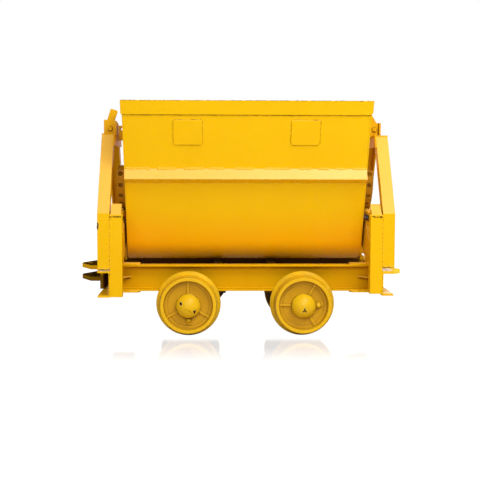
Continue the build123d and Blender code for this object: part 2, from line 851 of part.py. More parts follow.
for row in end_rows:
    side_name, side, low_end = row[:3]
    leg_cut = row[8]
    save(f"end_head_{side_name}", head(row))
    save(f"latch_lever_{side_name}", lever(row))
    for flank_name, flank in flanks:
        save(f"end_leg_{side_name}_{flank_name}", leg(side, flank, low_end, leg_cut))
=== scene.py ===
import bpy
import json
import math
import random
from mathutils import Matrix, Vector, noise


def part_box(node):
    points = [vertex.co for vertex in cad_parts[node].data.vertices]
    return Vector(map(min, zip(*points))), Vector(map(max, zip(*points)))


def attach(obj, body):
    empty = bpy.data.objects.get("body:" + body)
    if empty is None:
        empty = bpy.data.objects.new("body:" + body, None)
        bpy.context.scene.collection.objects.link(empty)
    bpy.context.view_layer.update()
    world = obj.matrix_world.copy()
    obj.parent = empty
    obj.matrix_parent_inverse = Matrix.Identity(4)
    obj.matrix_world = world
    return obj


# Side tipping mine car: finish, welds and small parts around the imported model. Metres throughout.

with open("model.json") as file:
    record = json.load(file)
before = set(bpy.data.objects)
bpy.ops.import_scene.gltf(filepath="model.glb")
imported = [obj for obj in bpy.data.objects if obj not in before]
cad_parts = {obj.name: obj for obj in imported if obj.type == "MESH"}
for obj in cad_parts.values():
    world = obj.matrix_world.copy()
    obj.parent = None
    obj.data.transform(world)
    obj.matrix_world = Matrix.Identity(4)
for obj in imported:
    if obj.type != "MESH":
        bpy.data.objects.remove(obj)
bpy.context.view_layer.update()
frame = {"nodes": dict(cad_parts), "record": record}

SIDES = (("left", -1), ("right", 1))
FLANKS = (("near", -1), ("far", 1))
BOTH = (-1, 1)

# Tub section: the sides slope out upwards and are joined by a round bottom.
rim_top = 1.220
rim_low = 1.150
wall_top_y = 0.485
wall_slope = math.radians(24.0)
tub_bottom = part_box("tub_shell")[0][2]
tub_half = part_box("tub_end_right")[1][0]
ledge_z = 0.8415
ledge_toe = 0.059 / math.sqrt(2)
patch_x = 0.300
patch_half_height = 0.067
patch_half_length = 0.073
patch_gap = 0.026

# Frame: the outer faces lie at frame_half, and the posts' and legs' seams at web_x.
beam_low, beam_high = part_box("side_beam_near")
end_low, end_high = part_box("end_beam_right")
post_front_top = 0.645
lip_height = 0.009
lip_proud = 0.0022
frame_half = -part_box("post_left_near")[0][1]
beam_reach = max(abs(beam_low[1]), abs(beam_high[1]))
web_x = beam_high[0]

# Wheels: each has a filler plug beside its domed cap, at an angle of its own.
wheel_x = 0.300
axle_z = 0.170
cap_base = 0.374
cap_lip_radius = 0.0595
cap_dome = 0.035
dome_ball = (cap_lip_radius ** 2 + cap_dome ** 2) / (2 * cap_dome)
dome_middle = cap_base + 0.005 + cap_dome - dome_ball
plug_angle = {"left": math.radians(270.0), "right": 0.0}
plug_radius = 0.078


def wall_y(z):
    """Outer half width of the tub's sloping side at height z."""
    return wall_top_y - (rim_top - z) * math.tan(wall_slope)


bottom_centre_z = (tub_bottom + wall_y(0) * math.cos(wall_slope)) / (1 - math.sin(wall_slope))
bottom_radius = bottom_centre_z - tub_bottom


# Materials

class Tree:
    """Short calls that add nodes to one material or world."""

    def __init__(self, owner, output="OutputMaterial"):
        owner.use_nodes = True
        self.owner = owner
        self.nodes = owner.node_tree.nodes
        self.links = owner.node_tree.links
        self.nodes.clear()
        self.rounded = None
        self.output = self.add(output)
        self.place = self.add("TexCoord").outputs["Object"]

    def put(self, socket, value):
        """Links an output to a socket, or sets the socket's number or colour."""
        if isinstance(value, bpy.types.NodeSocket):
            self.links.new(value, socket)
        elif isinstance(value, tuple) and len(value) == 3 and socket.type == "RGBA":
            socket.default_value = (*value, 1.0)
        else:
            socket.default_value = value

    def add(self, kind, *values):
        """A new node of a kind with its first inputs filled."""
        node = self.nodes.new("ShaderNode" + kind)
        for socket, value in zip(node.inputs, values):
            self.put(socket, value)
        return node

    def axes(self, vector=None):
        """The X, Y and Z of a vector, or of the place on the piece."""
        split = self.add("SeparateXYZ", self.place if vector is None else vector)
        return [split.outputs[k] for k in "XYZ"]

    def folded(self):
        """Distances from the middle along X and Y, and height."""
        x, y, z = self.axes()
        return self.math("ABSOLUTE", x), self.math("ABSOLUTE", y), z

    def facing_up(self, low=0.40, high=0.90):
        """One on faces that look upwards at rest, nought on upright ones."""
        return self.span(self.axes(self.add("TexCoord").outputs["Normal"])[2], low, high)

    def noise(self, scale, detail, rough, stretch=(1, 1, 1)):
        """Cloudy pattern fixed to the piece."""
        mapping = self.add("Mapping", self.place)
        mapping.inputs["Scale"].default_value = stretch
        node = self.add("TexNoise", mapping.outputs["Vector"])
        node.inputs["Scale"].default_value = scale
        node.inputs["Detail"].default_value = detail
        node.inputs["Roughness"].default_value = rough
        return node.outputs["Fac"]

    def span(self, value, low, high, to_low=0.0, to_high=1.0, smooth=True):
        """Maps value from low..high to to_low..to_high, clamped."""
        node = self.add("MapRange", value, low, high, to_low, to_high)
        node.interpolation_type = "SMOOTHSTEP" if smooth else "LINEAR"
        return node.outputs["Result"]

    def math(self, operation, a, b=0.0):
        node = self.add("Math", a, b)
        node.operation = operation
        return node.outputs["Value"]

    def times(self, *values):
        """Product of two or more values."""
        result = values[0]
        for value in values[1:]:
            result = self.math("MULTIPLY", result, value)
        return result

    def most(self, *values):
        """Largest of two or more values."""
        result = values[0]
        for value in values[1:]:
            result = self.math("MAXIMUM", result, value)
        return result

    def mix(self, factor, a, b):
        node = self.nodes.new("ShaderNodeMix")
        node.data_type = "RGBA"
        self.put(node.inputs["Factor"], factor)
        self.put(node.inputs["A"], a)
        self.put(node.inputs["B"], b)
        return node.outputs["Result"]

    def edges(self, reach):
        """One near sharp edges and nought on open faces. The rounded normal is kept for height."""
        bevel = self.add("Bevel", reach)
        bevel.samples = 6
        self.rounded = bevel.outputs["Normal"]
        dot = self.add("VectorMath", self.rounded, self.add("NewGeometry").outputs["True Normal"])
        dot.operation = "DOT_PRODUCT"
        return self.span(dot.outputs["Value"], 0.98, 0.80)

    def crevices(self, reach):
        """One deep in corners and nought on open faces."""
        node = self.add("AmbientOcclusion")
        node.samples = 6
        node.inputs["Distance"].default_value = reach
        return self.math("SUBTRACT", 1.0, node.outputs["AO"])

    def height(self, *layers):
        """Bump from (height, depth in metres) layers, laid one on another."""
        normal = self.rounded
        for value, depth in layers:
            node = self.add("Bump", 1.0, depth)
            self.put(node.inputs["Height"], value)
            if normal is not None:
                self.put(node.inputs["Normal"], normal)
            normal = node.outputs["Normal"]
        return normal

    def surface(self, color, roughness, normal, sheen, metal=0.0):
        """Ends the tree in one painted or metal surface, and returns its material."""
        shader = self.add("BsdfPrincipled", color)
        self.put(shader.inputs["Roughness"], roughness)
        self.put(shader.inputs["Normal"], normal)
        self.put(shader.inputs["Specular IOR Level"], sheen)
        self.put(shader.inputs["Metallic"], metal)
        self.put(self.output.inputs["Surface"], shader.outputs["BSDF"])
        return self.owner


# Colours of the paint, the soil, the painted sheen and shade, and the bare steel
SHEEN_PALE = (0.925, 0.530, 0.095)
YELLOW = (0.925, 0.545, 0.002)
GOLD = (0.880, 0.470, 0.002)
DEEP = (0.820, 0.400, 0.002)
SHADE_ORANGE = (0.960, 0.405, 0.001)
SHADE_AND_SOIL = (0.170, 0.085, 0.008)
BLACK_SHADE = (0.030, 0.014, 0.003)
BARE = (0.085, 0.045, 0.022)


def paint(name, base, deep, shade_and_grime=SHADE_AND_SOIL, gloss=0.30, sheen=0.22, rough_cast=0.0, wear=0.5, crevice_shade=0.5,
          reach=0.035, top_sheen=0.0, zone=None):
    """Sprayed enamel over steel: cloudy colour, streaks, chipped edges, and painted shade in corners from
    ambient occlusion, in patches that also stand for grime.

    Top sheen is a painted highlight, a paler colour on faces that look upwards. A zone takes the tree and
    the colour, and returns the colour and a mask that is darkened like the corners.
    """
    tree = Tree(bpy.data.materials.new(name))
    cloud = tree.span(tree.noise(2.4, 3.0, 0.5), 0.35, 0.75)
    streak = tree.span(tree.noise(16.0, 3.0, 0.6, (1.0, 1.0, 0.10)), 0.50, 0.80)
    mottle = tree.span(tree.noise(60.0, 3.0, 0.6), 0.45, 0.75)
    color = base
    for layer, share in ((cloud, 0.30), (streak, 0.14), (mottle, 0.08)):
        color = tree.mix(tree.times(layer, share), color, deep)
    if top_sheen:
        # Painted highlight: faces that look upwards turn towards a pale colour, as if lit from above.
        color = tree.mix(tree.times(tree.facing_up(0.04, 0.36), top_sheen), color, SHEEN_PALE)
    patchy = tree.span(tree.noise(22.0, 5.0, 0.65), 0.35, 0.70, 0.35, 1.0)
    # Painted shade: ambient occlusion darkens corners and creases, in patches that also stand for grime.
    darkening = tree.times(tree.span(tree.crevices(reach), 0.30, 0.95), patchy, crevice_shade)
    if zone:
        color, within = zone(tree, color)
        darkening = tree.most(darkening, within)
    color = tree.mix(darkening, color, shade_and_grime)
    broken = tree.span(tree.noise(85.0, 5.0, 0.7), 0.60, 0.66)
    chips = tree.times(tree.edges(0.0028), broken, wear)
    speck = tree.times(tree.span(tree.noise(150.0, 2.0, 0.5), 0.755, 0.775), wear)
    bare = tree.most(chips, speck)
    color = tree.mix(bare, color, BARE)
    roughness = tree.span(tree.noise(30.0, 3.0, 0.6), 0.3, 0.75, gloss - 0.06, gloss + 0.10)
    roughness = tree.math("ADD", roughness, tree.times(tree.math("ADD", darkening, bare), 0.3))
    bump = tree.height((tree.noise(5.0, 2.0, 0.4), 0.0014),
                       (tree.noise(240.0, 2.0, 0.5), 0.00010 + rough_cast),
                       (tree.math("SUBTRACT", 1.0, bare), 0.0004))
    return tree.surface(color, roughness, bump, sheen)


def under_tub_shade(tree, color):
    """Painted shade between the side beams, under the tub."""
    x, y, z = tree.folded()
    return color, tree.times(tree.span(y, 0.200, 0.191), tree.span(x, 0.70, 0.66),
                             tree.span(z, 0.42, 0.38, 0.0, 0.97))


def channel_hollow_shade(tree, color):
    """Painted shade inside the end beams' channels."""
    x, y, z = tree.folded()
    floor, roof = end_low[2], end_high[2]
    return color, tree.times(tree.span(x, web_x + 0.0055, web_x + 0.0075), tree.span(y, 0.437, 0.425),
                             tree.span(z, floor + 0.011, floor + 0.022),
                             tree.span(z, roof - 0.009, roof - 0.011, 0.0, 0.96))


def oily_top_and_jaw_shade(tree, color):
    """Soil and oil on the upper faces of the jaws, and painted shade all over the lower one, under the upper
    jaw.
    """
    patchy = tree.span(tree.noise(30.0, 4.0, 0.6), 0.30, 0.60, 0.75, 0.97)
    lower = tree.span(tree.axes()[2], 0.318, 0.306, 0.0, 0.72)
    return color, tree.most(tree.times(tree.facing_up(), patchy), lower)


def wheel_zones(tree, color):
    """Painted shade on the recessed web and its ribs, worn tread and flange, painted shade on the inner side.
    """
    x, y, z = tree.folded()
    aside = tree.math("SUBTRACT", x, wheel_x)
    up = tree.math("SUBTRACT", z, axle_z)
    radius = tree.math("SQRT", tree.math("ADD", tree.times(aside, aside), tree.times(up, up)))
    # Painted shade: the web in its recess is darkened, its ribs about half as much.
    web_shade = tree.times(tree.span(radius, 0.1275, 0.1245), tree.span(y, 0.3515, 0.3455, 0.45, 1.0),
                     tree.span(y, 0.3660, 0.3560), 0.62)
    color = tree.mix(web_shade, color, (0.470, 0.225, 0.001))
    streak = tree.span(tree.noise(9.0, 5.0, 0.7, (1.0, 2.5, 1.0)), 0.38, 0.62)
    band = tree.times(tree.span(radius, 0.1440, 0.1475), streak, 0.38)
    color = tree.mix(band, color, (0.360, 0.270, 0.040))
    # Painted shade: dark arcs at the ring's inner wall and at the web's step.
    wall_shade = tree.times(tree.span(radius, 0.1215, 0.1235), tree.span(radius, 0.1300, 0.1280), 0.25)
    step = tree.times(tree.span(radius, 0.1010, 0.1085), tree.span(radius, 0.1120, 0.1102), 0.16)
    ring_shade = tree.times(tree.most(wall_shade, step), tree.span(y, 0.3790, 0.3740))
    # Painted shade, near black, in the back recess and on the inner side inboard of the flange.
    recess_shade = tree.times(tree.span(radius, 0.1240, 0.1215), tree.span(y, 0.3350, 0.3250))
    inner = tree.times(tree.most(recess_shade, tree.span(y, 0.2630, 0.2608)), 0.97)
    return color, tree.most(inner, ring_shade)


def tub_shaded_bottom(tree, color):
    """Painted shade: the tub's colour turns deeper orange towards its round bottom, which faces down, away
    from the lamps.
    """
    return tree.mix(tree.span(tree.axes()[2], 0.70, 0.44, 0.0, 0.80), color, SHADE_ORANGE), 0.0


def scuffed_shell(tree, color):
    """The shell also has the painted shade towards its bottom, and shows scuffs down its inner side."""
    color = tub_shaded_bottom(tree, color)[0]
    x, y, z = tree.folded()
    depth = tree.math("SUBTRACT", y, tree.times(z, math.tan(wall_slope)))
    surface = wall_top_y - rim_top * math.tan(wall_slope)
    inner = tree.times(tree.span(depth, surface - 0.0020, surface - 0.0038), tree.span(z, 0.62, 0.68))
    long_marks = tree.span(tree.noise(7.0, 6.0, 0.75, (1.0, 0.25, 0.25)), 0.48, 0.66)
    fine_marks = tree.span(tree.noise(60.0, 4.0, 0.7, (1.0, 0.15, 0.15)), 0.55, 0.68)
    scuff = tree.times(tree.most(tree.times(long_marks, 0.45), tree.times(fine_marks, 0.60)), inner)
    return tree.mix(scuff, color, (0.330, 0.190, 0.060)), 0.0


def dull_steel(name, base, dark, metal, roughness, sheen):
    """Oiled steel or primer with dust on it."""
    tree = Tree(bpy.data.materials.new(name))
    color = tree.mix(tree.span(tree.noise(14.0, 5.0, 0.65), 0.35, 0.7), base, dark)
    dust = tree.span(tree.noise(40.0, 4.0, 0.6), 0.55, 0.75, 0.0, 0.35)
    color = tree.mix(dust, color, (0.14, 0.08, 0.02))
    bump = tree.height((tree.noise(180.0, 3.0, 0.6), 0.0005))
    return tree.surface(color, roughness, bump, sheen, metal)


def patchy_steel(name, light, dark, scale, low, high):
    """Burnt, scraped or soiled places that show in the paint, and dark strips of painted shade."""
    tree = Tree(bpy.data.materials.new(name))
    color = tree.mix(tree.span(tree.noise(scale, 4.0, 0.65), low, high), dark, light)
    bump = tree.height((tree.noise(320.0, 3.0, 0.6), 0.0004))
    return tree.surface(color, 0.60, bump, 0.10)


# In these finishes the crevice shade darkens corners as painted shade, and top sheen is a painted highlight.
finishes = {
    "tub_paint": paint("TubPaint", YELLOW, GOLD, sheen=0.12, wear=0.6, crevice_shade=0.45, top_sheen=0.8, zone=tub_shaded_bottom),
    "frame_paint": paint("FramePaint", (0.860, 0.490, 0.002), DEEP, sheen=0.10, wear=0.8, crevice_shade=0.70,
                         top_sheen=0.75),
    "rocker_paint": paint("RockerPaint", (0.480, 0.230, 0.008), (0.330, 0.150, 0.008), (0.070, 0.032, 0.006),
                          gloss=0.50, sheen=0.12, rough_cast=0.0004, wear=0.9, crevice_shade=0.9),
    "latch_paint": paint("LatchPaint", (0.820, 0.450, 0.002), (0.680, 0.340, 0.002), (0.110, 0.050, 0.005),
                         gloss=0.42, sheen=0.06, wear=0.9, crevice_shade=0.9),
    "coupler_paint": paint("CouplerPaint", (0.760, 0.410, 0.008), (0.480, 0.240, 0.006),
                           (0.016, 0.009, 0.004), gloss=0.60, sheen=0.0, rough_cast=0.0004, wear=0.9,
                           crevice_shade=0.9, zone=oily_top_and_jaw_shade),
    "wheel_paint": paint("WheelPaint", (0.800, 0.465, 0.004), (0.640, 0.330, 0.003), (0.110, 0.055, 0.005),
                         gloss=0.36, rough_cast=0.00025, wear=0.7, crevice_shade=0.95, reach=0.020, zone=wheel_zones),
    "axle_steel": dull_steel("AxleSteel", (0.16, 0.11, 0.07), (0.05, 0.035, 0.02), 0.6, 0.5, 0.3),
    "dark_underframe": dull_steel("DarkUnderframe", (0.060, 0.026, 0.008), (0.022, 0.010, 0.004), 0.0, 0.8,
                                  0.05),
}
burnt_weld_and_shadow = patchy_steel("BurntWeldAndShadow", (0.620, 0.330, 0.004), (0.060, 0.030, 0.006), 55.0, 0.44, 0.58)
seam_soil_and_shade = patchy_steel("SeamSoilAndShade", (0.620, 0.350, 0.004), (0.240, 0.125, 0.004), 22.0, 0.38, 0.60)
bare_scar = patchy_steel("BareScar", (0.070, 0.035, 0.016), (0.020, 0.011, 0.007), 90.0, 0.40, 0.70)
scar_rim = patchy_steel("ScarRim", (0.900, 0.700, 0.200), (0.700, 0.420, 0.030), 90.0, 0.40, 0.65)

# Finishes of single pieces, which differ from their slot's; several are lit or shaded copies that paint light
# or shade
shell_finish = paint("TubWallPaint", YELLOW, GOLD, sheen=0.12, wear=0.6, crevice_shade=0.45, zone=scuffed_shell)
# Painted light: the ledge paint is lighter than the tub's so that its down-facing face looks lit, with a
# strong painted highlight on top.
lit_ledge_finish = paint("LitLedgePaint", (0.980, 0.560, 0.002), (0.920, 0.480, 0.002), wear=0.6, crevice_shade=0.10,
                     top_sheen=0.95)
# Painted shade: the side beams and cross beams wear darker copies of the frame paint, near black between the
# beams.
shaded_beam_finish = paint("ShadedBeamPaint", (0.760, 0.405, 0.001), (0.620, 0.290, 0.001), BLACK_SHADE, sheen=0.03,
                    wear=0.7, crevice_shade=0.75, zone=under_tub_shade)
shaded_member_finish = paint("ShadedMemberPaint", (0.820, 0.420, 0.002), (0.640, 0.270, 0.001), BLACK_SHADE, sheen=0.0,
                      wear=0.7, crevice_shade=0.9, zone=under_tub_shade)
# Painted shade: near black in the end beams' channels.
end_beam_finish = paint("EndBeamPaint", (0.860, 0.480, 0.002), DEEP, BLACK_SHADE, sheen=0.10, wear=0.9,
                        crevice_shade=0.6, zone=channel_hollow_shade)
# Painted shade: the heads and the tub's catches wear a darker copy of the frame paint.
shaded_head_finish = paint("ShadedHeadPaint", (0.800, 0.430, 0.002), (0.660, 0.310, 0.002), (0.130, 0.060, 0.005),
                    sheen=0.05, wear=0.9, crevice_shade=0.9)
# Painted highlight: the tongue paint is paler than the frame's.
lit_tongue_finish = paint("LitTonguePaint", (0.980, 0.720, 0.070), (0.900, 0.580, 0.020), sheen=0.0,
                      rough_cast=0.0004, wear=0.9, crevice_shade=0.8)
cap_finish = paint("CapPaint", (0.820, 0.490, 0.004), (0.700, 0.390, 0.003), gloss=0.36, sheen=0.25,
                   rough_cast=0.00015, wear=0.8, crevice_shade=0.8)
own_finish = {
    "tub_shell": shell_finish,
    "tub_ledge_near": lit_ledge_finish,
    "tub_ledge_far": lit_ledge_finish,
    "tub_catches": shaded_head_finish,
    "side_beam_near": shaded_beam_finish,
    "side_beam_far": shaded_beam_finish,
    "cross_beams": shaded_member_finish,
    "end_beam_left": end_beam_finish,
    "end_beam_right": end_beam_finish,
    "end_head_left": shaded_head_finish,
    "end_head_right": shaded_head_finish,
    "coupler_tongue": lit_tongue_finish,
    "hub_caps_left": cap_finish,
    "hub_caps_right": cap_finish,
}
for part in frame["record"]["subparts"]:
    node = frame["nodes"][part["node"]]
    node.data.materials.clear()
    node.data.materials.append(own_finish.get(part["node"], finishes[part["material_slot"]]))


# Small parts

def add_mesh(name, vertices, faces, slot, body, look, smooth):
    """One joined mesh that wears its slot's finish, or a look of its own, and rides on a body."""
    mesh = bpy.data.meshes.new(name)
    mesh.from_pydata(vertices, [], faces)
    mesh.polygons.foreach_set("use_smooth", [smooth] * len(mesh.polygons))
    mesh.materials.append(look or finishes[slot])
    piece = bpy.data.objects.new(name, mesh)
    bpy.context.scene.collection.objects.link(piece)
    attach(piece, body)


def along(points, step):
    """Points at even steps along a polyline."""
    spots = [Vector(points[0])]
    for a, b in zip(points, points[1:]):
        a, b = Vector(a), Vector(b)
        count = max(1, round((b - a).length / step))
        spots += [a.lerp(b, (k + 1) / count) for k in range(count)]
    return spots


class Beads:
    """Collects weld beads, drops and other small forms in one mesh."""

    sides = 7

    def __init__(self, seed):
        self.random = random.Random(seed)
        self.vertices = []
        self.faces = []

    def run(self, points, radius, uneven, step=0.004):
        """A rippled bead along a polyline."""
        spots = along(points, step)
        phase = self.random.uniform(0, 100)
        start = len(self.vertices)
        for k, spot in enumerate(spots):
            forward = (spots[min(len(spots) - 1, k + 1)] - spots[max(0, k - 1)]).normalized()
            across = forward.orthogonal().normalized()
            other = forward.cross(across)
            swell = 1 + uneven * noise.noise(Vector((phase, k * 0.35, 0))) + 0.10 * (k % 2)
            end = min(1.0, (min(k, len(spots) - 1 - k) + 0.35) / 1.6)
            shift = Vector([noise.noise(Vector((phase + 7 * i, k * 0.2, 3))) for i in range(3)])
            centre = spot + shift * radius * uneven
            for j in range(self.sides):
                turn = 2 * math.pi * j / self.sides
                ray = across * math.cos(turn) + other * math.sin(turn)
                self.vertices.append(centre + ray * radius * swell * end)
        for k in range(len(spots) - 1):
            for j in range(self.sides):
                a = start + k * self.sides + j
                b = start + k * self.sides + (j + 1) % self.sides
                self.faces.append((a, b, b + self.sides, a + self.sides))
        last = start + (len(spots) - 1) * self.sides
        self.faces.append(tuple(start + j for j in reversed(range(self.sides))))
        self.faces.append(tuple(last + j for j in range(self.sides)))

    def stitched(self, a, b, radius, length, gap, uneven=0.3):
        """Separate beads of uneven length between two points."""
        a, b = Vector(a), Vector(b)
        whole = (b - a).length
        place = 0.0
        while place < whole:
            reach = min(whole, place + length * self.random.uniform(0.6, 1.4))
            if reach - place > radius * 2:
                self.run((a.lerp(b, place / whole), a.lerp(b, reach / whole)), radius=radius, uneven=uneven)
            place = reach + gap * self.random.uniform(0.5, 1.6)

    def drops(self, a, b, spread, count, radius):
        """Spatter scattered about a line."""
        a, b = Vector(a), Vector(b)
        rays = ((1, 0, 0), (-1, 0, 0), (0, 1, 0), (0, -1, 0), (0, 0, 1), (0, 0, -1))
        sides = ((0, 2, 4), (2, 1, 4), (1, 3, 4), (3, 0, 4), (2, 0, 5), (1, 2, 5), (3, 1, 5), (0, 3, 5))
        for _ in range(count):
            spot = a.lerp(b, self.random.random())
            spot += Vector([s * self.random.gauss(0, 0.5) for s in spread])
            size = radius * self.random.uniform(0.4, 1.0)
            start = len(self.vertices)
            self.vertices += [spot + Vector(ray) * size for ray in rays]
            self.faces += [tuple(start + i for i in side) for side in sides]

    def make(self, name, slot, body, look=None, smooth=True):
        add_mesh(name, self.vertices, self.faces, slot, body, look, smooth)


def tub_outline(x):
    """Points along the edge of an end plate at x, from the near rim under the tub to the far rim."""
    out = -0.001
    steps = 18
    points = [(x, -(wall_y(rim_low) + out), rim_low)]
    radius = bottom_radius + out
    for k in range(steps + 1):
        turn = math.pi + wall_slope + (math.pi - 2 * wall_slope) * k / steps
        points.append((x, radius * math.cos(turn), bottom_centre_z + radius * math.sin(turn)))
    points.append((x, wall_y(rim_low) + out, rim_low))
    return points


def arc(centre, radius, y, steps, first, last):
    """Points round an axis along Y: those from first to last of the steps in a full turn."""
    turns = [2 * math.pi * k / steps for k in range(first, last + 1)]
    x, z = centre
    return [Vector((x + radius * math.cos(turn), y, z + radius * math.sin(turn))) for turn in turns]


class Flakes:
    """Collects thin ragged scars, each with a paler rim, that lie on surfaces."""

    def __init__(self, seed):
        self.random = random.Random(seed)
        self.scars = ([], [])
        self.rims = ([], [])

    def layer(self, mesh, outline, onto, lift):
        """One flake that stands proud of the surface by lift."""
        vertices, faces = mesh
        count = len(outline)
        middle = [sum(spot[i] for spot in outline) / count for i in range(2)]
        start = len(vertices)
        vertices += [onto(a, b, lift) for a, b in outline]
        vertices += [onto(a, b, -0.0006) for a, b in outline]
        vertices.append(onto(*middle, lift))
        for k in range(count):
            after = (k + 1) % count
            faces.append((start + k, start + after, start + 2 * count))
            faces.append((start + after, start + k, start + count + k, start + count + after))

    def put(self, outline, onto):
        """A scar on a wider rim."""
        middle = [sum(spot[i] for spot in outline) / len(outline) for i in range(2)]
        wider = [[m + (v - m) * 1.30 for v, m in zip(spot, middle)] for spot in outline]
        self.layer(self.rims, wider, onto, 0.0003)
        self.layer(self.scars, outline, onto, 0.0007)

    def ragged(self, a, b, width, height, points=11):
        """Uneven outline about a place."""
        outline = []
        for k in range(points):
            turn = 2 * math.pi * k / points
            reach = self.random.uniform(0.30, 0.56)
            outline.append((a + width * reach * math.cos(turn), b + height * reach * math.sin(turn)))
        return outline

    def make(self, name, slot, body):
        add_mesh(name + "_scars", *self.scars, slot, body, bare_scar, False)
        add_mesh(name + "_scar_rims", *self.rims, slot, body, scar_rim, False)


def on_dome(side, flank):
    """Places offsets from a wheel's centre on its domed cap."""
    def onto(a, b, lift):
        out = math.sqrt((dome_ball + lift) ** 2 - a * a - b * b)
        return Vector((side * wheel_x + a, flank * (dome_middle + out), axle_z + b))
    return onto


def on_plane(centre, across, up):
    """Places offsets on a flat face."""
    across = Vector(across).normalized()
    up = Vector(up).normalized()
    normal = across.cross(up)

    def onto(a, b, lift):
        return Vector(centre) + across * a + up * b + normal * lift
    return onto


def patch_welds(beads, soil_and_shadow, flank):
    """Thin broken beads round the two patches of one flank, with thin dark lines outside them."""
    rise = patch_half_height * math.cos(wall_slope)
    middle = rim_low - patch_gap - rise
    for side in BOTH:
        centre = side * patch_x
        for sx in BOTH:
            for group, out, radius in ((beads, 0.0, 0.0022), (soil_and_shadow, 0.0024, 0.0011)):
                x = centre + sx * (patch_half_length + out)
                heights = (middle - 0.90 * rise, middle + 0.96 * rise)
                ends = [(x, flank * (wall_y(z) + 0.0007), z) for z in heights]
                group.stitched(*ends, radius=radius, length=0.07, gap=0.006, uneven=0.4)
        for s, share, gap in ((-1, 0.90, 0.004), (1, 0.96, 0.030)):
            for group, out, radius in ((beads, 0.0, 0.0024), (soil_and_shadow, 0.0024, 0.0012)):
                z = middle + s * (rise + out)
                y = flank * (wall_y(z) + 0.0007)
                reach = patch_half_length * share
                group.stitched((centre - reach, y, z), (centre + reach, y, z), radius=radius, length=0.06,
                               gap=gap, uneven=0.5)


def tub_welds():
    """Corner seams, ledge toes, rim band and patch edges."""
    beads = Beads(11)
    soil_and_shadow = Beads(12)
    toe_y = ledge_toe * math.sin(wall_slope)
    toe_z = ledge_toe * math.cos(wall_slope)
    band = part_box("tub_rim_band")
    for side in BOTH:
        beads.run(tub_outline(side * (tub_half - 0.001)), radius=0.0030, step=0.006, uneven=0.2)
    for flank in BOTH:
        upper = (flank * (wall_y(ledge_z) + toe_y), ledge_z + toe_z)
        lower = (flank * (wall_y(ledge_z) - toe_y), ledge_z - toe_z)
        beads.stitched((-tub_half, *upper), (tub_half, *upper), radius=0.0052, length=0.10, gap=0.030,
                       uneven=0.5)
        beads.stitched((-tub_half, *lower), (tub_half, *lower), radius=0.0040, length=0.12, gap=0.020,
                       uneven=0.4)
        soil_and_shadow.stitched((-tub_half, upper[0], upper[1] + 0.005), (tub_half, upper[0], upper[1] + 0.005),
                        radius=0.0011, length=0.05, gap=0.060, uneven=0.9)
        # Painted shadow: a dark line under the rim band.
        edge = (flank * (wall_y(rim_low) + 0.0015), rim_low - 0.001)
        soil_and_shadow.run(((-tub_half, *edge), (tub_half, *edge)), radius=0.0021, step=0.005, uneven=0.6)
        top = (flank * (max(abs(band[0][1]), abs(band[1][1])) - 0.0004), rim_top - 0.0006)
        soil_and_shadow.stitched((band[0][0], *top), (band[1][0], *top), radius=0.0010, length=0.09, gap=0.012,
                        uneven=0.9)
        patch_welds(beads, soil_and_shadow, flank)
    # Painted shadow: the dark line under the rim band also runs across each end.
    for side in BOTH:
        ends = [(side * tub_half, flank * wall_y(rim_low), rim_low - 0.001) for flank in BOTH]
        soil_and_shadow.stitched(*ends, radius=0.0018, length=0.10, gap=0.01, uneven=0.5)
    soil_and_shadow.make("tub_seam_soil_and_shadow", "tub_paint", "tub", seam_soil_and_shade)
    beads.make("tub_welds", "tub_paint", "tub")


def add_lip(strips, inner, outer, flank):
    """Chamfered strip across the top of a post's front."""
    low = post_front_top - 0.008
    high = low + lip_height
    back = frame_half - 0.002
    front = frame_half + lip_proud
    chamfer = 0.0008
    section = [(back, low), (front - chamfer, low), (front, low + chamfer),
               (front, high - chamfer), (front - chamfer, high), (back, high)]
    start = len(strips.vertices)
    for x in (inner, outer):
        strips.vertices += [Vector((x, flank * y, z)) for y, z in section]
    count = len(section)
    for k in range(count):
        after = (k + 1) % count
        strips.faces.append((start + k, start + after, start + count + after, start + count + k))
    strips.faces.append(tuple(start + k for k in range(count)))
    strips.faces.append(tuple(start + count + k for k in range(count)))


def post_welds(name, side, flank_name, flank, beads, burnt, dimples, strips):
    """Seam of a post with its leg, the leg's foot, and the lip of the post's cap."""
    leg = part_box(f"end_leg_{name}_{flank_name}")
    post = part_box(f"post_{name}_{flank_name}")
    face = flank * frame_half
    seam = side * web_x
    outer = side * max(abs(leg[0][0]), abs(leg[1][0]))
    inner = side * min(abs(post[0][0]), abs(post[1][0]))
    leg_foot = leg[0][2]
    beads.stitched((seam, face, leg_foot), (seam, face, post_front_top), radius=0.0028,
                   length=0.014, gap=0.008, uneven=0.5)
    proud = face + flank * 0.0010
    dimples.stitched((seam, proud, post[0][2] + 0.01), (seam, proud, post_front_top), radius=0.0020,
                     length=0.008, gap=0.012, uneven=0.6)
    foot = ((seam, face, leg_foot), (outer, face, leg_foot))
    burnt.run(foot, radius=0.0036, step=0.004, uneven=0.9)
    beads.run([(x, y, z + 0.005) for x, y, z in foot], radius=0.0034, step=0.004, uneven=0.8)
    beads.drops(*foot, spread=(0.004, 0.001, 0.006), count=14, radius=0.003)
    add_lip(strips, inner - side * 0.004, seam + side * 0.002, flank)
    # The burnt bead under the lip ends short of the post's inner face, clear of the tipping tub.
    tip = inner + side * 0.003
    under = post_front_top - 0.0105
    burnt.run(((tip, face, under + 0.002), (seam, face, under)), radius=0.0036, step=0.004, uneven=1.1)
    burnt.drops((tip + side * 0.005, face, under), (seam, face, under), spread=(0.004, 0.001, 0.008),
                count=12, radius=0.0030)
    spatter = seam - side * 0.012
    burnt.drops((spatter, face, 0.46), (spatter, face, 0.63), spread=(0.010, 0.001, 0.02), count=7,
                radius=0.0022)


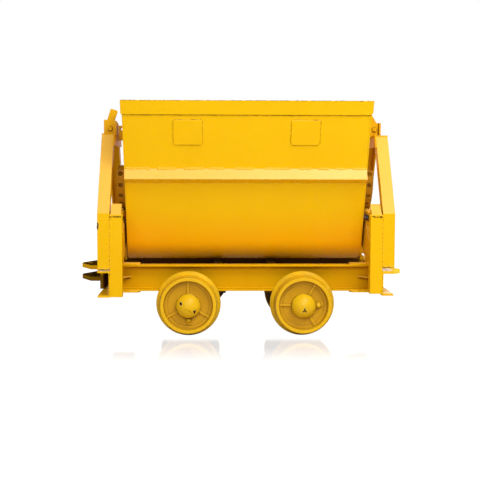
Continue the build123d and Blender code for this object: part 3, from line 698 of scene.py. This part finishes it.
def plate_welds(side, flank, beads):
    """Edges of a corner plate on its side beam."""
    y = flank * beam_reach
    top = beam_high[2]
    low = beam_low[2]
    inner = side * (web_x - 0.140)
    outer = side * web_x
    for z in (top, low):
        beads.stitched((inner, y, z), (outer, y, z), radius=0.0032, length=0.05, gap=0.012, uneven=0.4)
    beads.stitched((outer, y, low), (outer, y, top), radius=0.0030, length=0.06, gap=0.02)


def frame_welds():
    """Seams of posts, legs, corner plates and tongue."""
    beads = Beads(23)
    burnt = Beads(29)
    dimples = Beads(30)
    strips = Beads(31)
    for name, side in SIDES:
        for flank_name, flank in FLANKS:
            post_welds(name, side, flank_name, flank, beads, burnt, dimples, strips)
            plate_welds(side, flank, beads)
    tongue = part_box("coupler_tongue")
    for y in (tongue[0][1], tongue[1][1]):
        root = (end_high[0], y, tongue[1][2])
        beads.run((root, (tongue[1][0] - 0.055, y, tongue[1][2])), radius=0.0045, step=0.005, uneven=0.9)
    burnt.make("frame_burnt_welds", "frame_paint", "frame", burnt_weld_and_shadow)
    dimples.make("frame_seam_dimples", "frame_paint", "frame", seam_soil_and_shade)
    strips.make("cap_lips", "frame_paint", "frame", smooth=False)
    beads.make("frame_welds", "frame_paint", "frame")


def pin_rings():
    """Rings of painted shade round the heads of the latch pins, on their lower side and round their feet,
    with a burr of paint on each.
    """
    rims = Beads(61)
    burrs = Beads(62)
    low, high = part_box("latch_pins")
    z = (low[2] + high[2]) / 2
    head = (high[2] - low[2]) / 2
    for x in (low[0] + head, high[0] - head):
        for flank in BOTH:
            top = flank * (high[1] + 0.0002)
            foot = flank * (high[1] - 0.0115)
            for group, reach, y, radius, first, last in ((rims, head - 0.0012, top, 0.0011, 15, 31),
                                                         (rims, head + 0.0010, foot, 0.0022, 0, 24),
                                                         (burrs, head * 0.45, top, 0.0012, 4, 16)):
                group.run(arc((x, z), reach, y, 24, first, last), radius=radius, step=0.002, uneven=0.4)
    rims.make("pin_shade", "latch_paint", "frame", seam_soil_and_shade)
    burrs.make("pin_burrs", "latch_paint", "frame")


def rib_edges():
    """Rounded edge along each corner rib in the lit ledge paint, a painted highlight, and a strip of painted
    shadow in the corner under it.
    """
    bright = Beads(71)
    darkening = Beads(72)
    low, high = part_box("corner_ribs")
    middle = (low[2] + high[2]) / 2
    z = middle + 0.0024
    for side in BOTH:
        for flank in BOTH:
            outer = flank * high[1]
            inner = flank * (high[1] - 0.052)
            edge = [(side * (web_x - 0.002), outer, z), (side * (web_x - 0.044), outer, z),
                    (side * (web_x - 0.097), inner, z)]
            bright.run(edge, radius=0.0026, step=0.005, uneven=0.3)
            # Painted shadow: a dark strip in the corner under the rib's edge.
            darkening.run([(x, y - flank * 0.0012, middle - 0.0040) for x, y, _ in edge], radius=0.0026,
                     step=0.005, uneven=0.4)
    bright.make("rib_edges", "frame_paint", "frame", lit_ledge_finish)
    darkening.make("rib_shadow", "frame_paint", "frame", burnt_weld_and_shadow)


def turned(beads, centre, flank, rings, sides):
    """Adds a form about an axis along Y. Rings are radius and distance from the middle, outwards."""
    start = len(beads.vertices)
    for radius, out in rings:
        for k in range(sides):
            turn = flank * 2 * math.pi * k / sides + 0.3
            beads.vertices.append(Vector((centre[0] + radius * math.cos(turn), flank * out,
                                          centre[1] + radius * math.sin(turn))))
    for i in range(len(rings) - 1):
        for k in range(sides):
            a = start + i * sides + k
            b = start + i * sides + (k + 1) % sides
            beads.faces.append((a, a + sides, b + sides, b))
    beads.faces.append(tuple(start + (len(rings) - 1) * sides + k for k in reversed(range(sides))))


# Filler plug and nut as radius and distance from the car's middle, and the tail's path on the nut
plug_rings = ((0.0150, 0.3520), (0.0150, 0.3570), (0.0142, 0.3576), (0.0, 0.3576))
nut_rings = ((0.0112, 0.3570), (0.0112, 0.3640), (0.0098, 0.3655), (0.0, 0.3655))
tail_path = ((0.010, 0.0), (0.020, 0.0), (0.021, 0.010), (0.013, 0.016))
tail_y = 0.3610

# Knocked-off paint on the near caps, as outlines from the axle's line
near_knocks = {
    "left": (
        ((-0.0440, 0.0150), (-0.0410, 0.0225), (-0.0360, 0.0235), (-0.0315, 0.0190), (-0.0310, 0.0110),
         (-0.0345, 0.0060), (-0.0400, 0.0070)),
        ((0.0250, -0.0190), (0.0280, -0.0300), (0.0335, -0.0410), (0.0385, -0.0300), (0.0425, -0.0180),
         (0.0330, -0.0215)),
    ),
    "right": (
        ((0.0000, -0.0080), (-0.0015, -0.0180), (-0.0085, -0.0260), (-0.0070, -0.0305), (0.0025, -0.0235),
         (0.0120, -0.0315), (0.0145, -0.0270), (0.0060, -0.0185), (0.0045, -0.0080)),
    ),
}

# A scratch on each near cap, and on each far cap three knocks with place and size
near_scratch = {
    "left": ((-0.0190, -0.0100), (-0.0080, -0.0160), (0.0020, -0.0170), (0.0120, -0.0260), (0.0210, -0.0290)),
    "right": ((-0.0300, 0.0200), (-0.0220, 0.0180), (-0.0140, 0.0210)),
}
far_knocks = ((0.030, 0.020, 0.015), (-0.024, -0.026, 0.011), (0.004, 0.041, 0.009))


def wheel_details(name, side):
    """Nut with a bent tail on each filler plug, a dark rim round it and a dark ring round each cap's foot,
    and knocks on the domed caps.
    """
    nuts = Beads(41 + side)
    rims = Beads(43 + side)
    marks = Flakes(47 + side)
    turn = plug_angle[name]
    reach = Vector((math.cos(turn), 0, math.sin(turn)))
    aside = Vector((-reach.z, 0, reach.x))
    middle = Vector((side * wheel_x, 0, axle_z)) + reach * plug_radius
    centre = (middle.x, middle.z)
    for flank in BOTH:
        turned(nuts, centre, flank, plug_rings, 20)
        turned(nuts, centre, flank, nut_rings, 6)
        face = Vector((0, flank * tail_y, 0))
        tail = [middle + reach * a + aside * b + face for a, b in tail_path]
        nuts.run(tail, radius=0.0026, step=0.002, uneven=0.3)
        rims.run(arc(centre, 0.0160, flank * 0.3415, 24, 0, 24), radius=0.0028, step=0.003, uneven=0.6)
        cap_foot = arc((side * wheel_x, axle_z), 0.0625, flank * (cap_base - 0.0015), 60, 0, 60)
        rims.run(cap_foot, radius=0.0020, step=0.004, uneven=0.7)
    near = on_dome(side, -1)
    for outline in near_knocks[name]:
        marks.put(outline, near)
    for a, b, size in far_knocks:
        marks.put(marks.ragged(-side * a, b, size, size * 0.8), on_dome(side, 1))
    nuts.run([near(a, b, 0.0) for a, b in near_scratch[name]], radius=0.0014, step=0.003, uneven=1.2)
    body = f"wheelset_{name}"
    nuts.make(f"plug_nuts_{name}", "wheel_paint", body, seam_soil_and_shade if name == "left" else None)
    rims.make(f"wheel_dark_rings_{name}", "wheel_paint", body, seam_soil_and_shade)
    marks.make(f"hub_caps_{name}", "wheel_paint", body)


def frame_scars():
    """Knocked edge of the near left leg and small scrapes on the far legs and posts."""
    marks = Flakes(59)
    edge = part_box("end_leg_left_near")[0][0]
    height = 0.588
    marks.put(marks.ragged(0, 0, 0.010, 0.040, 15),
              on_plane((edge + 0.0030, -frame_half, height), (1, 0, 0), (0, 0, 1)))
    marks.put(marks.ragged(0, 0, 0.014, 0.042, 15),
              on_plane((edge, -frame_half + 0.006, height), (0, -1, 0), (0, 0, 1)))
    for x, z, across, up in ((0.650, 0.300, 0.010, 0.006), (0.728, 0.520, 0.006, 0.012)):
        for side in BOTH:
            marks.put(marks.ragged(0, 0, across, up),
                      on_plane((side * x, frame_half, z + 0.03 * side), (-1, 0, 0), (0, 0, 1)))
    marks.make("frame", "frame_paint", "frame")


tub_welds()
frame_welds()
pin_rings()
rib_edges()
for name, side in SIDES:
    wheel_details(name, side)
frame_scars()


# Floor, light and camera

def make_floor():
    """Plain white floor that shows faint reflections close in front of the wheels."""
    tree = Tree(bpy.data.materials.new("Floor"))
    path = tree.add("LightPath")
    eye = path.outputs["Is Camera Ray"]
    seen = tree.most(eye, tree.times(path.outputs["Is Glossy Ray"], 0.10),
                     path.outputs["Is Transmission Ray"])
    diffuse = tree.add("BsdfDiffuse", tree.mix(eye, (0.58, 0.52, 0.42), (0.17, 0.165, 0.155)))
    distance = tree.add("VectorMath", tree.place)
    distance.operation = "LENGTH"
    away = distance.outputs["Value"]
    glow = tree.add("Emission", (1.0, 1.0, 1.0), tree.times(seen, tree.span(away, 1.2, 3.0, 0.975, 1.0)))
    lit = tree.add("AddShader", diffuse.outputs["BSDF"], glow.outputs["Emission"])
    gloss = tree.add("BsdfGlossy", (1.0, 0.985, 0.95), 0.04)
    y = tree.axes()[1]
    slant = tree.add("LayerWeight").outputs["Facing"]
    share = tree.times(tree.span(y, -1.22, -0.58, 0.0, 0.36), tree.span(y, -0.30, -0.52),
                       tree.span(slant, 0.55, 0.78), tree.span(away, 2.2, 1.1))
    blend = tree.add("MixShader", share, lit.outputs["Shader"], gloss.outputs["BSDF"])
    tree.put(tree.output.inputs["Surface"], blend.outputs["Shader"])
    size = 30.0
    mesh = bpy.data.meshes.new("floor")
    corners = [(-size, -size, 0), (size, -size, 0), (size, size, 0), (-size, size, 0)]
    mesh.from_pydata(corners, [], [(0, 1, 2, 3)])
    mesh.materials.append(tree.owner)
    floor = bpy.data.objects.new("floor", mesh)
    bpy.context.scene.collection.objects.link(floor)


def make_world():
    """White to the eye and in flat reflections; a soft sky, darker below, as a light."""
    world = bpy.data.worlds.new("Studio")
    bpy.context.scene.world = world
    tree = Tree(world, "OutputWorld")
    path = tree.add("LightPath")
    up = tree.axes(tree.add("TexCoord").outputs["Generated"])[2]
    sky = tree.span(up, -0.2, 0.9, 0.06, 0.30, False)
    mirrored = tree.times(path.outputs["Is Glossy Ray"], tree.span(up, 0.32, 0.20, smooth=False))
    seen = tree.most(path.outputs["Is Camera Ray"], path.outputs["Is Transmission Ray"], mirrored)
    light = tree.add("Background", (1.0, 1.0, 1.0), sky)
    white = tree.add("Background", (1.0, 1.0, 1.0), 1.0)
    blend = tree.add("MixShader", seen, light.outputs["Background"], white.outputs["Background"])
    tree.put(tree.output.inputs["Surface"], blend.outputs["Shader"])


def add_softbox(name, place, target, width, height, watts):
    """Rectangular area light that faces a point."""
    data = bpy.data.lights.new(name, "AREA")
    data.shape = "RECTANGLE"
    data.size = width
    data.size_y = height
    data.energy = watts
    lamp = bpy.data.objects.new(name, data)
    bpy.context.scene.collection.objects.link(lamp)
    lamp.location = place
    lamp.rotation_euler = (Vector(target) - Vector(place)).to_track_quat("-Z", "Y").to_euler()


def make_camera():
    """Camera in front of the near side, a little above it and left of its middle."""
    place = Matrix.Translation((-0.1884, -5.5758, 0.8980))
    yaw = Matrix.Rotation(-math.radians(1.72), 4, "Z")
    pitch = Matrix.Rotation(math.pi / 2 - math.radians(4.24), 4, "X")
    roll = Matrix.Rotation(math.radians(0.15), 4, "Z")
    data = bpy.data.cameras.new("camera")
    data.sensor_width = 36.0
    data.lens = 75.85
    camera = bpy.data.objects.new("camera", data)
    bpy.context.scene.collection.objects.link(camera)
    camera.matrix_world = place @ yaw @ pitch @ roll
    bpy.context.scene.camera = camera


make_floor()
make_world()
add_softbox("front_light", (-0.4, -6.6, 2.7), (0, 0, 0.8), 5.0, 2.0, 216)
add_softbox("top_light", (1.4, -3.0, 3.6), (0, -0.4, 0.9), 2.4, 1.8, 112)
add_softbox("back_light", (0.6, 6.2, 3.0), (0, 0, 0.8), 5.0, 2.0, 170)
add_softbox("left_light", (-6.0, 0.8, 2.4), (0, 0, 0.7), 2.6, 2.0, 90)
add_softbox("right_light", (6.0, 0.8, 2.4), (0, 0, 0.7), 2.6, 2.0, 110)
make_camera()
bpy.context.scene.view_settings.view_transform = "Standard"
